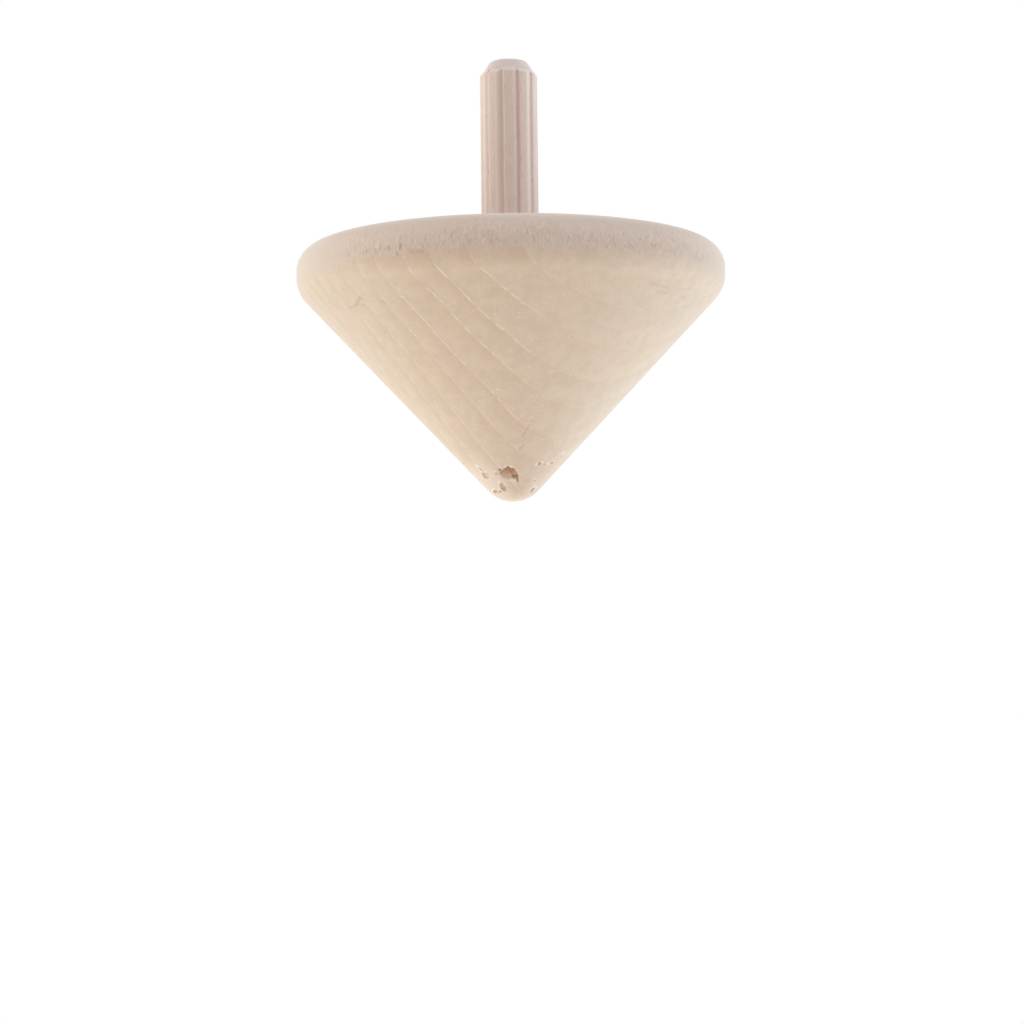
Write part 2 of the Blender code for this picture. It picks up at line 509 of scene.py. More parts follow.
# Painted light: the cone is paler just under the rim, where its rounding turns towards the dim front
PAINTED_LIGHT_UP = (26.8, 29.8, 1.0, 1.075)
LINES_RIGHT = (-24.0, -10.0, 0.45, 1.0)
LINES_UP = (28.4, 30.4, 1.0, 0.25)
FLECK_FIBRES = (0.30, 0.7, (5.9, 21.3, 13.1))
FLECK_PATCHES = (0.46, 0.66)
BROWN_STRENGTH, LATE_STRENGTH, LINE_STRENGTH = 0.45, 0.40, 0.88
FLECK_STRENGTH, PORE_STRENGTH = 0.34, 0.10
# Painted light: a pale glow at the left of the tip, where it lies and how it fades out
PAINTED_GLOW_SPOT = (-50.0, 2.6)
PAINTED_GLOW_FADE = (1.6 * MM, 4.6 * MM, 0.34, 0.0)

# Rim, with the line in mm that the sander reached in front, and how that line strays
SANDED_TO = 30.9
SANDER_WANDER, SANDER_FRAY, SANDER_TILT = 1.6, 1.0, 0.005
SOFT_AT_SIDES, SOFT_IN_FRONT, SOFT_ABOVE = -2.2, -0.6, 0.5
MISSED_BY_SANDER = (math.sin(math.radians(7.0)), -math.cos(math.radians(7.0)), 0.0)
MISSED_ROUND = (math.cos(math.radians(71.0)), math.cos(math.radians(42.0)))
# Painted shade on the right of the rim and along its upper rounding, and a painted lit band across its
# middle
SHADE_TO_RIGHT = (6.0, 22.0)
SHADE_UP = (33.4, 35.5)
LIT_MIDDLE, LIT_REACH = 33.2, 1.7
FIBRE_SWAY = 1.8 * MM
PITS_UP = (32.2, 34.4, 1.0, 0.15)
PIT_FIBRES = (0.30, 1.2, (3.1, 8.4, 1.9))
PIT_CLUSTERS = (0.32, 0.52, 0.45, 1.0)
COMB_UP = (33.2, 34.8, 1.0, 0.5)
COMB_FIBRES = (0.46, 1.2, (11.2, 6.6, 4.5))
COMB_PATCHES = (0.40, 0.62, 0.25, 1.0)
COMB_TONE = (0.30, 0.70, 0.92, 1.08)
LIFTED_FIBRES = (0.30, 0.9, (17.3, 2.6, 9.7))
# Strengths of the pits' painted shade, of the lifted fibres, and of the low rim's painted shade
PIT_SHADE_STRENGTH, LIFTED_STRENGTH, LOW_RIM_SHADE_STRENGTH = 0.40, 0.45, 0.04

# Flat top, torn grain, roughness, and the heights of the bumps in mm
FACE_UP = (TOP_HEIGHT / MM - 0.35, TOP_HEIGHT / MM - 0.02)
TOOL_TONE = (0.96, 1.04)
END_LATE_STRENGTH, END_LINE_STRENGTH = 0.36, 0.30
TORN_SHOWS, TORN_DARKENS = (0.0, 0.80), (0.60, 0.95)
TORN_STREAKS = (0.56, 0.40, 0.0, 0.4)
BODY_ROUGHNESS = (0.58, 0.80)
COARSE_RELIEF = (0.010, 0.016)
FINE_RELIEF, LINE_RELIEF, PIT_RELIEF, TOOL_RELIEF = 0.012, 0.018, -0.040, 0.030
BODY_FUZZ = 0.60

# Single marks: (azimuth, height) at the start and the end, width in mm, strength
MARK_RAGGEDNESS = 1.6
BODY_MARKS = (
    # brown flecks on the left
    ((-53.1, 25.6), (-48.4, 26.3), 0.42, 0.50),
    ((-57.1, 25.4), (-53.0, 25.5), 0.36, 0.30),
    ((-51.1, 25.7), (-49.0, 25.3), 0.36, 0.30),
    ((-41.4, 25.5), (-40.2, 25.1), 0.36, 0.30),
    # stained streaks on the right
    ((26.4, 29.6), (42.1, 27.3), 0.24, 0.16),
    ((42.6, 27.25), (49.0, 27.1), 0.34, 0.30),
    ((46.2, 26.5), (50.4, 26.4), 0.38, 0.28),
    ((54.6, 27.1), (59.6, 27.5), 0.34, 0.30),
    ((58.4, 26.5), (60.8, 26.3), 0.36, 0.32),
    ((63.0, 25.5), (65.5, 25.6), 0.34, 0.24),
    # pits and a smudge on the rim
    ((-32.1, 31.8), (-31.9, 31.4), 0.34, 0.60),
    ((-28.5, 31.7), (-28.3, 31.3), 0.30, 0.55),
    ((-29.6, 30.8), (-29.3, 30.6), 0.34, 0.55),
    ((-26.0, 30.9), (-22.5, 30.7), 0.60, 0.30),
    # hair crack above the tip
    ((11.9, 9.7), (8.2, 8.2), 0.20, 0.50),
    ((9.2, 7.2), (5.6, 6.4), 0.18, 0.50),
    # fleck and streak on the back
    ((150.0, 21.5), (156.0, 20.6), 0.60, 0.35),
    ((205.0, 13.0), (212.0, 15.2), 0.40, 0.30),
)
print("marks on the body:", len(BODY_MARKS))

# %% Cone, rim and flat top
def body_rings(position, **values):
    """The growth rings of the body."""
    return place(position, growth_rings, Pith=PITH, First_Ring=FIRST_RING, Ring_Width=RING_WIDTH,
                 Wander=RING_WANDER, **values)


def cone_colour(position, rings, right, rise):
    """Colour of the sanded cone: soft patches, growth rings, pale flecks, and painted light just under the
    rim.
    """
    colour = tint("MIX", step(mottle(position, 330.0, 3.0), *NOISE_RANGE), CONE_OCHRE, CONE_ROSE)
    browned = times(step(rise, *BROWN_UP), hump(right, BROWN_MIDDLE, BROWN_REACH))
    colour = blend(colour, CONE_BROWN, browned, BROWN_STRENGTH)
    blotch = step(mottle(position, 620.0, 3.0, shift=(0.3, 0.1, 0.2)), *BLOTCHES)
    # Painted light lifts the cone just under the rim, where its rounding faces the dim front.
    colour = shade(colour, times(blotch, step(rise, *DARKER_UP), step(rise, *PAINTED_LIGHT_UP)))
    colour = blend(colour, LATE_WOOD, rings["Late Wood"], LATE_STRENGTH)
    shown = times(step(right, *LINES_RIGHT), step(rise, *LINES_UP))
    colour = blend(colour, RING_PALE, rings["Ring Line"], shown, LINE_STRENGTH)
    flecks = fibres(position, *FLECK_FIBRES)
    scattered = step(mottle(position, 260.0), *FLECK_PATCHES)
    return blend(colour, PALE_FIBRE, flecks["Pores"], scattered, FLECK_STRENGTH)


def body_rim(position, colour, coarse, right, rise):
    """Colour above the sanded line with its painted shade and light, how rough it is and where its pits
    are.
    """
    line = times_plus(wobble(position, 110.0), SANDER_WANDER, rise)
    line = times_plus(minus(coarse["Streaks"], 0.5), SANDER_FRAY, line)
    line = times_plus(right, SANDER_TILT, line)
    missed = step(calc("ABSOLUTE", dot(unit(level(position)), MISSED_BY_SANDER)), *MISSED_ROUND)
    soft = step(missed, 0.0, 1.0, SANDED_TO + SOFT_AT_SIDES, SANDED_TO + SOFT_IN_FRONT)
    above = step(line, soft, SANDED_TO + SOFT_ABOVE)
    rough = times(above, missed)
    # Painted shade: the rim is darker on its right and along its upper rounding, and a painted lit band
    # lightens its middle.
    colour = blend(colour, tint("MIX", step(right, *SHADE_TO_RIGHT), RIM_WOOD, SHADED_RIM_RIGHT), above)
    colour = tint("MULTIPLY", step(rise, *SHADE_UP), colour, RIM_SHADE)
    colour = tint("MULTIPLY", times(hump(rise, LIT_MIDDLE, LIT_REACH), missed), colour, RIM_LIT)

    low_rim = times(rough, step(rise, *PITS_UP))
    sway = scaled((1.0, 1.0, 0.0), times(wobble(position, 420.0), FIBRE_SWAY))
    swayed = vector_plus(position, sway)
    pits = fibres(swayed, *PIT_FIBRES)
    pitted = times(pits["Pores"], low_rim, step(mottle(position, 230.0), *PIT_CLUSTERS))
    # Painted shade: the pits and torn fibres of the low rim are darkened in the colour as well as in the
    # bump.
    colour = blend(colour, RIM_PIT_SHADE, pitted, PIT_SHADE_STRENGTH)
    comb = fibres(swayed, *COMB_FIBRES)
    patches = step(mottle(position, 260.0, shift=(0.2, 0.5, 0.3)), *COMB_PATCHES)
    combed = times(rough, patches, step(rise, *COMB_UP))
    colour = shade(colour, step(comb["Streaks"], *COMB_TONE), combed)
    lifted = fibres(swayed, *LIFTED_FIBRES)
    colour = blend(colour, PALE_FIBRE, lifted["Pores"], low_rim, LIFTED_STRENGTH)
    # Painted shade darkens the whole low rim a little, standing for the shadows of its torn fibres.
    return blend(colour, RIM_PIT_SHADE, low_rim, LOW_RIM_SHADE_STRENGTH), rough, pitted


def body_end_grain(position, colour, rise):
    """Colour of the flat top, with its growth rings, and the marks of the tool that faced it off."""
    rings = body_rings(position, Fade=0.0)
    turns = divided(distance(level(position)), TOOL_FEED)
    marks = mottle(joined(turns, 0.0, 0.0), 1.0)
    face = step(rise, *FACE_UP)
    cut = blend(END_GRAIN, END_RING, rings["Late Wood"], END_LATE_STRENGTH)
    cut = blend(cut, RING_PALE, rings["Ring Line"], END_LINE_STRENGTH)
    cut = shade(cut, step(marks, *STREAK_RANGE, *TOOL_TONE))
    return blend(colour, cut, face), times(marks, face)


print("cone, rim and flat top ready")

# %% Body wood
def make_body_wood():
    """The body's finish, from the cone and the rim to the marks and the torn grain."""
    material, tree, shader, position = new_material("body_wood_finish")
    right, _, rise = split(scaled(position, 1 / MM))
    rings = body_rings(position)
    fine = fibres(position, *FINE_FIBRES)
    coarse = fibres(position, *COARSE_FIBRES)
    colour = cone_colour(position, rings, right, rise)
    colour, rough, pits = body_rim(position, colour, coarse, right, rise)
    colour, tool_marks = body_end_grain(position, colour, rise)

    for start, finish, width, strength in BODY_MARKS:
        stroke = place(position, grain_mark, Start=on_body(*start), End=on_body(*finish), Width=width * MM,
                       Raggedness=width * MARK_RAGGEDNESS * MM)
        colour = blend(colour, STAIN, stroke["Mark"], strength)
    # Painted light: a pale patch at the left of the tip stands for the glow of light from below.
    away = distance(vector_minus(position, on_body(*PAINTED_GLOW_SPOT)))
    colour = blend(colour, PALE_FIBRE, step(away, *PAINTED_GLOW_FADE))
    torn = attribute(tree, "torn")
    # Deep torn wood and painted shade under the upper end of each hole
    torn_tone = tint("MIX", step(torn, *TORN_DARKENS), TORN_WOOD, TORN_DEEP_AND_SHADE)
    torn_tone = blend(torn_tone, TORN_DEEP_AND_SHADE, step(coarse["Streaks"], *TORN_STREAKS))
    colour = blend(colour, torn_tone, step(torn, *TORN_SHOWS))
    colour = blend(colour, PALE_FIBRE, attribute(tree, "lip"))
    colour = shade(colour, step(fine["Streaks"], *STREAK_RANGE, *FINE_TONE))
    colour = blend(colour, LATE_WOOD, fine["Pores"], PORE_STRENGTH)

    feed_all(shader, {"Base Color": colour, "Roughness": step(rough, 0.0, 1.0, *BODY_ROUGHNESS)})
    lift = step(rough, 0.0, 1.0, *COARSE_RELIEF)
    bump(shader, (fine["Streaks"], FINE_RELIEF), (coarse["Streaks"], lift),
         (rings["Ring Line"], LINE_RELIEF), (pits, PIT_RELIEF), (tool_marks, TOOL_RELIEF))
    fuzz(shader, BODY_FUZZ)
    return material


body_wood = make_body_wood()
print("made", body_wood.name, "with", len(body_wood.node_tree.nodes), "nodes")

# %% [markdown]
# The dowel's wood
#
# Dowels are beech as a rule: pinker than the cone, with short brown flecks where the wood's rays are cut.
# The flutes are pressed in by ribbed rollers, so their floors are denser and darker than the lands between
# them, and that darker colour also carries painted shade in the floors. One lip of each flute carries a
# painted highlight, and pale specks share its colour. Both are read from numbers that the flute press
# stores on the mesh.

# %% Dowel wood
DOWEL_PITH = (21.0 * MM, -34.0 * MM, 0.0)
DOWEL_FIRST_RING = 30.0 * MM
DOWEL_RING_WIDTH = 2.1 * MM
DOWEL_RING_WANDER = 0.5 * MM
DOWEL_FIBRES, RAY_FIBRES = (0.16, 4.0), (0.24, 1.1)
SPECK_FIBRES = (0.30, 0.6, (7.7, 3.2, 15.8))
DRAWN_OUT = (1, 1, 0.25)
ROSE_RANGE = (0.45, 0.70)
NOSE_UP = (DOWEL_TOP - 1.6 * MM, DOWEL_TOP - 1.2 * MM)
PRESSED_IN = (0.30, 1.0, 0.0, 0.20)
DOWEL_TONE = (0.955, 1.045)
DOWEL_ROUGHNESS = (0.2, 0.8, 0.54, 0.68)
ROSE_STRENGTH, DEEP_STRENGTH, SPECK_STRENGTH = 0.7, 0.25, 0.30
RAY_STRENGTH, END_STRENGTH, CREST_HIGHLIGHT_STRENGTH = 0.25, 0.7, 0.62
RAY_RELIEF, DOWEL_RELIEF = 0.02, 0.03
DOWEL_FUZZ = 0.30
BEECH_PALE = (0.766, 0.625, 0.540)
BEECH_DEEP = (0.756, 0.613, 0.528)
BEECH_ROSE = (0.766, 0.600, 0.522)
BEECH_RAY = (0.480, 0.340, 0.270)
# Pale specks, and the painted highlight on one lip of each flute
BEECH_SPECK_AND_HIGHLIGHT = (0.920, 0.820, 0.690)
BEECH_END = (0.710, 0.600, 0.520)
# Pressed wood of the flute floors, which also stands for their painted shade
PRESSED_WOOD_AND_SHADE = (0.620, 0.410, 0.340)


def make_dowel_wood():
    """The dowel's finish."""
    material, tree, shader, position = new_material("dowel_wood_finish")
    rings = place(position, growth_rings, Pith=DOWEL_PITH, First_Ring=DOWEL_FIRST_RING,
                  Ring_Width=DOWEL_RING_WIDTH, Wander=DOWEL_RING_WANDER)
    fine, rays, specks = (fibres(position, *layer) for layer in (DOWEL_FIBRES, RAY_FIBRES, SPECK_FIBRES))
    drawn = vector_calc("MULTIPLY", position, DRAWN_OUT)
    colour = tint("MIX", step(mottle(drawn, 420.0), *NOISE_RANGE), BEECH_PALE, BEECH_DEEP)
    rosy = step(mottle(drawn, 300.0, shift=(0.2, 0.4, 0.1)), *ROSE_RANGE)
    colour = blend(colour, BEECH_ROSE, rosy, ROSE_STRENGTH)
    colour = blend(colour, BEECH_DEEP, rings["Late Wood"], DEEP_STRENGTH)
    colour = blend(colour, BEECH_SPECK_AND_HIGHLIGHT, specks["Pores"], SPECK_STRENGTH)
    colour = blend(colour, BEECH_RAY, rays["Pores"], RAY_STRENGTH)
    colour = blend(colour, BEECH_END, step(split(position)["Z"], *NOSE_UP), END_STRENGTH)
    # Darker pressed wood in the flute floors, which is also painted shade there
    colour = blend(colour, PRESSED_WOOD_AND_SHADE, step(attribute(tree, "pressed"), *PRESSED_IN))
    # Painted highlight on one lip of each flute
    colour = blend(colour, BEECH_SPECK_AND_HIGHLIGHT, attribute(tree, "crest"), CREST_HIGHLIGHT_STRENGTH)
    colour = shade(colour, step(fine["Streaks"], *STREAK_RANGE, *DOWEL_TONE))
    feed_all(shader, {"Base Color": colour, "Roughness": step(fine["Streaks"], *DOWEL_ROUGHNESS)})
    bump(shader, (rays["Streaks"], RAY_RELIEF), (fine["Streaks"], DOWEL_RELIEF))
    fuzz(shader, DOWEL_FUZZ)
    return material


dowel_wood = make_dowel_wood()
print("made", dowel_wood.name, "with", len(dowel_wood.node_tree.nodes), "nodes")

# %% [markdown]
# Turning
#
# Both pieces start on a lathe. A profile is a list of radii and heights that runs up the inside and down
# the outside, with the rows set close where small shapes come later and far apart where the wood is
# plain. Spinning the rows gives a closed mesh with one point at each pole, so there is no seam to weld.

# %% Turned surface
def run(start, end, spacing):
    """Rows along a straight stretch, without its last point."""
    count = max(1, math.ceil(math.dist(start, end) / spacing))
    return [tuple(a + (b - a) * row / count for a, b in zip(start, end)) for row in range(count)]


def bend(centre, radius, start, end, spacing):
    """Rows along an arc, without its last point."""
    count = max(2, math.ceil(abs(end - start) * radius / spacing))
    angles = [start + (end - start) * row / count for row in range(count)]
    return [(centre[0] + radius * math.cos(a), centre[1] + radius * math.sin(a)) for a in angles]


def turn(rows, segments):
    """Points and faces of a closed turned shape whose first and last rows lie on the axis."""
    angles = np.arange(segments) * (2 * math.pi / segments)
    circle = np.stack([np.cos(angles), np.sin(angles)], axis=1)
    between = rows[1:-1]
    rings = [np.column_stack([circle * radius, np.full(segments, height)]) for radius, height in between]
    points = np.vstack([[(0.0, 0.0, rows[0][1])], *rings, [(0.0, 0.0, rows[-1][1])]])
    here = np.arange(segments)
    there = (here + 1) % segments
    faces = [(0, 1 + a, 1 + b) for a, b in zip(here, there)]
    for row in range(len(rings) - 1):
        above, below = 1 + row * segments, 1 + (row + 1) * segments
        faces += zip(above + here, below + here, below + there, above + there)
    last, floor = len(points) - 1, 1 + (len(rings) - 1) * segments
    faces += [(floor + a, last, floor + b) for a, b in zip(here, there)]
    return points, [tuple(int(corner) for corner in face) for face in faces]


def new_object(name, data):
    """An object in the scene."""
    item = bpy.data.objects.new(name, data)
    bpy.context.scene.collection.objects.link(item)
    return item


def mesh_object(name, points, faces, material):
    """A smooth-shaded mesh object in the scene."""
    mesh = bpy.data.meshes.new(name)
    mesh.from_pydata([tuple(point) for point in points], [], faces)
    mesh.materials.append(material)
    mesh.shade_smooth()
    return new_object(name, mesh)


print("lathe ready")

# %% [markdown]
# The cone body
#
# The rows are closest near the tip, where the torn grain will need points a tenth of a millimetre apart.
# On the straight cone they can be wide, because nothing bends there.

# %% Rows of the body
GLUE_CLEARANCE = 0.2 * MM
SHOULDER_RISE = 0.775 * MM
DRILL_HALF_ANGLE = math.radians(59.0)
HOLE_RADIUS = DOWEL_RADIUS + GLUE_CLEARANCE
HOLE_SHOULDER = DOWEL_BOTTOM + SHOULDER_RISE
DRILL_POINT = HOLE_RADIUS / math.tan(DRILL_HALF_ANGLE)
BODY_SEGMENTS = 440
TIP_SPACING = 0.09 * MM
TIP_ZONE = 7.2 * MM
RIM_SPACING = 0.24 * MM
CONE_SPACING = 0.85 * MM
FACE_SPACING = 1.6 * MM


def body_rows():
    """Rows from the bottom of the hole, over the top and the rim, down to the tip."""
    mouth = (HOLE_RADIUS, TOP_HEIGHT)
    edge = (RIM_RADIUS - RIM_UPPER_RADIUS, TOP_HEIGHT)
    fillet_centre = (RIM_RADIUS - RIM_LOWER_RADIUS, FILLET_HEIGHT)
    cone_top = (fillet_centre[0] + RIM_LOWER_RADIUS * CONE_COS, FILLET_HEIGHT - RIM_LOWER_RADIUS * CONE_SIN)
    zone = (profile_radius(TIP_ZONE), TIP_ZONE)
    tip_edge = (TIP_RADIUS * CONE_COS, TIP_TANGENT)
    rows = [(0.0, HOLE_SHOULDER - DRILL_POINT), (HOLE_RADIUS, HOLE_SHOULDER)]
    rows += run(mouth, edge, FACE_SPACING)
    rows += bend((edge[0], TOP_HEIGHT - RIM_UPPER_RADIUS), RIM_UPPER_RADIUS, math.pi / 2, 0.0, RIM_SPACING)
    rows += run((RIM_RADIUS, FILLET_HEIGHT + RIM_BAND_HEIGHT), (RIM_RADIUS, FILLET_HEIGHT), RIM_SPACING)
    rows += bend(fillet_centre, RIM_LOWER_RADIUS, 0.0, -CONE_HALF_ANGLE, RIM_SPACING)
    rows += run(cone_top, zone, CONE_SPACING)
    rows += run(zone, tip_edge, TIP_SPACING)
    rows += bend((0.0, TIP_RADIUS), TIP_RADIUS, -CONE_HALF_ANGLE, -math.pi / 2, TIP_SPACING)
    return rows + [(0.0, 0.0)]


body_points, body_faces = turn(body_rows(), BODY_SEGMENTS)
print("body:", len(body_points), "points,", len(body_faces), "faces")

# %% [markdown]
# Torn grain at the tip
#
# At the point the lathe tool cuts against the ends of the fibres and plucks some out. Each hole has a
# ragged edge, steep walls, a floor striped by broken fibres that runs out below, and a pale lip of bent
# ones, so it is real depth in the mesh and not a bump. Every point near a tear is measured in a flat frame
# on the surface there, a noise makes the outline ragged, and the point is pushed in by the depth that is
# left. Holes that overlap share their deeper floor. How torn a point is, and how much it belongs to a lip,
# is stored on the mesh for the finish. A hole counts as more torn towards its upper end, so its colour
# darkens there: darker torn wood, and painted shade under the overhang.

# %% Tears
TEARS = (
    # azimuth and height of the middle, width, length, turn, depth, darkness; degrees and mm
    (-10.5, 3.44, 2.15, 2.10, -8.0, 0.48, 0.95),
    (-6.8, 4.08, 0.95, 1.00, 0.0, 0.48, 1.00),
    (-2.4, 3.72, 1.10, 1.30, 30.0, 0.48, 0.90),
    (1.4, 3.40, 0.95, 2.00, 22.0, 0.42, 0.66),
    (6.4, 2.85, 0.45, 1.50, 18.0, 0.26, 0.50),
    (-25.5, 3.55, 0.50, 0.60, 20.0, 0.12, 0.20),
    (-46.5, 3.36, 1.35, 1.25, 0.0, 0.20, 0.38),
    (-46.7, 4.20, 0.32, 0.90, 25.0, 0.12, 0.20),
    (-23.0, 1.76, 0.80, 1.45, 5.0, 0.20, 0.46),
    (-33.0, 1.22, 0.45, 0.60, 20.0, 0.14, 0.32),
    (-48.9, 1.26, 1.15, 0.75, 10.0, 0.20, 0.38),
    (50.0, 1.45, 0.80, 1.05, -12.0, 0.14, 0.22),
    (33.1, 4.79, 0.66, 0.54, 0.0, 0.15, 0.30),
    (40.8, 4.77, 0.46, 0.42, 0.0, 0.12, 0.16),
    (51.2, 4.99, 0.66, 0.52, 0.0, 0.14, 0.26),
    (60.5, 5.95, 0.28, 0.60, 20.0, 0.10, 0.20),
    (40.7, 2.60, 0.32, 0.30, 0.0, 0.12, 0.25),
    (118.0, 2.60, 1.30, 1.00, 10.0, 0.36, 0.60),
    (171.0, 4.20, 0.80, 1.10, -15.0, 0.30, 0.45),
    (196.0, 1.50, 0.90, 0.70, 0.0, 0.28, 0.45),
    (236.0, 3.30, 1.60, 0.90, 12.0, 0.40, 0.70),
    (285.0, 5.30, 0.40, 0.35, 0.0, 0.16, 0.35),
)
RAGGED_EDGE = 0.26
EDGE_NOISE = 2.6
EDGE_MARGIN = 0.6
WALL = 0.13
RUN_OUT = 3.0
SHALLOW_END = 0.25
FIBRE_STRIPES = 0.35
STRIPE_NOISE = Vector((6.0, 6.0, 0.8))
LIP_WIDTH = 0.24
LIP_HEIGHT = 0.05
LIP_NOISE = 1.7
LIP_SHIFT = Vector((9.0, 4.0, 2.0))
DEEPEST_LIP = 0.05


def surface_frame(azimuth, height, turned):
    """Middle, sideways and up-slope directions at a place on the body, turned in its plane."""
    middle = on_body(azimuth, height)
    rise = 0.02
    up = (on_body(azimuth, height + rise) - on_body(azimuth, height - rise)).normalized()
    angle, turned = math.radians(azimuth), math.radians(turned)
    side = Vector((math.cos(angle), math.sin(angle), 0.0))
    across = side * math.cos(turned) + up * math.sin(turned)
    return middle, across, up * math.cos(turned) - side * math.sin(turned)


def smooth(value):
    """A soft step from 0 to 1."""
    value = min(1.0, max(0.0, value))
    return value * value * (3 - 2 * value)


def tear(points, sink, torn, lip, spot, width, length, depth, darkness):
    """Note how deep one tear goes at the points round it, in mm, with its colour and its lip."""
    middle, side, up = spot
    reach = (max(width, length) / 2 + EDGE_MARGIN) * MM
    near = np.nonzero(np.linalg.norm(points - np.array(middle), axis=1) < reach)[0]
    small = min(width, length) / 2
    for index in near:
        offset = Vector(points[index]) - middle
        across, along = offset.dot(side) / MM, offset.dot(up) / MM
        where = Vector(points[index]) / MM
        rough = RAGGED_EDGE * min(1.0, 1.6 * small) * noise.fractal(where * EDGE_NOISE, 0.7, 2.0, 3)
        inside = (1.0 - math.hypot(2 * across / width, 2 * along / length)) * small + rough
        upper = smooth(0.5 + along / length)
        open_end = smooth((small - 0.4) / 0.6) * (1.0 - upper)
        fall = smooth(inside / (min(WALL, 0.6 * small) * (1.0 + RUN_OUT * open_end)))
        stripes = 1.0 + FIBRE_STRIPES * noise.noise(where * STRIPE_NOISE)
        floor = 1.0 - (1.0 - SHALLOW_END) * open_end
        sink[index] = max(sink[index], depth * fall * stripes * floor)
        # Torn is strongest at a hole's upper end: darker torn wood and painted shade under the overhang.
        torn[index] = max(torn[index], darkness * fall * (1.0 - 0.80 * max(open_end, 0.30 * (1.0 - upper))))
        ridge = smooth(1.0 - abs(inside + 0.6 * LIP_WIDTH) / LIP_WIDTH)
        lean = 0.25 + 0.75 * smooth(0.5 + 0.9 * (along - 0.6 * across) / max(width, length))
        patchy = smooth(0.5 + 1.8 * noise.noise(where * LIP_NOISE + LIP_SHIFT))
        lip[index] = max(lip[index], ridge * lean * patchy * min(1.0, 0.6 + darkness))


def outward(points):
    """Outward directions of points on the tip and the cone."""
    around = np.maximum(np.hypot(points[:, 0], points[:, 1]), 1e-9)
    ball = points - np.array([0.0, 0.0, TIP_RADIUS])
    slope = np.column_stack([points[:, :2] / around[:, None] * CONE_COS, np.full(len(points), -CONE_SIN)])
    on_ball = points[:, 2] < TIP_TANGENT
    return np.where(on_ball[:, None], ball / np.linalg.norm(ball, axis=1)[:, None], slope)


sink, torn, lip = (np.zeros(len(body_points)) for _ in range(3))
for azimuth, height, width, length, turned, depth, darkness in TEARS:
    spot = surface_frame(azimuth, height, turned)
    tear(body_points, sink, torn, lip, spot, width, length, depth, darkness)
lip[sink > DEEPEST_LIP] = 0.0
body_points += outward(body_points) * (LIP_HEIGHT * lip - sink)[:, None] * MM
print("points in torn grain:", int((sink > 0.1).sum()), "and in lips:", int((lip > 0.3).sum()))

# %% Body object
SHARP = math.radians(50.0)
body = mesh_object("cone_body_wood", body_points, body_faces, body_wood)
body.data.set_sharp_from_angle(angle=SHARP)
for name, values in (("torn", torn), ("lip", lip)):
    body.data.attributes.new(name, "FLOAT", "POINT").data.foreach_set("value", values)
print("body faces:", len(body.data.polygons))

# %% [markdown]
# The fluted dowel
#
# The blank is a plain round pin with a tapered nose at each end. Pressing the flutes is a rule that
# repeats round the pin, so Geometry Nodes does it: every point asks how far it is, round the pin, from
# the middle of the nearest flute, and is pushed in to the groove there. The rollers bite harder on one
# side, so the deepest line of a flute lies off its middle. Each flute gets its own width, depth and drift
# from a fixed chance, and each land ends a little higher or lower on the nose.

# %% Dowel blank
NOSE_LENGTH = 1.3 * MM
NOSE_TAPER = math.radians(30.0)
NOSE_ROUND_RADIUS = 0.8 * MM
NOSE_BASE = 3.36 * MM
LAND_BEVEL = math.radians(40.0)
FLUTE_COUNT = 11
POINTS_PER_FLUTE = 32
SHAFT_SPACING = 0.32 * MM
NOSE_SPACING = 0.10 * MM
BURIED_SPACING = 1.2 * MM
FINE_STRETCH = 1.0 * MM


def nose_rows(end, inward, spacing):
    """Rows of one end, from its axis to the full radius."""
    tip = NOSE_BASE - NOSE_LENGTH * math.tan(NOSE_TAPER)
    corner = NOSE_ROUND_RADIUS * math.tan((math.pi / 2 - NOSE_TAPER) / 2)
    centre = (tip - corner, end + inward * NOSE_ROUND_RADIUS)
    side = (centre[0] + NOSE_ROUND_RADIUS * math.cos(NOSE_TAPER),
            centre[1] - inward * NOSE_ROUND_RADIUS * math.sin(NOSE_TAPER))
    base = (NOSE_BASE, end + inward * NOSE_LENGTH)
    full = (DOWEL_RADIUS, base[1] + inward * (DOWEL_RADIUS - NOSE_BASE) / math.tan(LAND_BEVEL))
    rows = run((0.0, end), (centre[0], end), 5 * spacing)
    rows += bend(centre, NOSE_ROUND_RADIUS, -inward * math.pi / 2, -inward * NOSE_TAPER, spacing)
    return rows + run(side, base, spacing) + run(base, full, spacing) + [full]


def dowel_rows():
    """Rows from the free end of the dowel down to its buried end."""
    top = nose_rows(DOWEL_TOP, -1, NOSE_SPACING)
    bottom = nose_rows(DOWEL_BOTTOM, 1, 4 * NOSE_SPACING)[::-1]
    below_nose = (DOWEL_RADIUS, top[-1][1] - FINE_STRETCH)
    mouth = (DOWEL_RADIUS, TOP_HEIGHT - FINE_STRETCH)
    shaft = run(top[-1], below_nose, NOSE_SPACING) + run(below_nose, mouth, SHAFT_SPACING)
    return top[:-1] + shaft + run(mouth, bottom[0], BURIED_SPACING) + bottom


dowel_points, dowel_faces = turn(dowel_rows(), FLUTE_COUNT * POINTS_PER_FLUTE)
dowel = mesh_object("fluted_dowel_wood", dowel_points, dowel_faces, dowel_wood)
print("dowel blank:", len(dowel_points), "points")

# %% Flute press
GEOMETRY, MATERIAL = "NodeSocketGeometry", "NodeSocketMaterial"
FLUTES = {
    "Flute Count": float(FLUTE_COUNT), "First Flute": math.radians(-107.0), "Flute Width": 1.10 * MM,
    "Flute Depth": 0.30 * MM, "Radius": DOWEL_RADIUS, "Bite": 0.45, "Unevenness": 0.3, "Drift": 0.30 * MM,
    "Nose Radius": NOSE_BASE, "Land End": DOWEL_TOP - NOSE_LENGTH, "Land Raggedness": 0.35 * MM,
    "Crest Height": 0.03 * MM, "Seed": 15704.0,
}
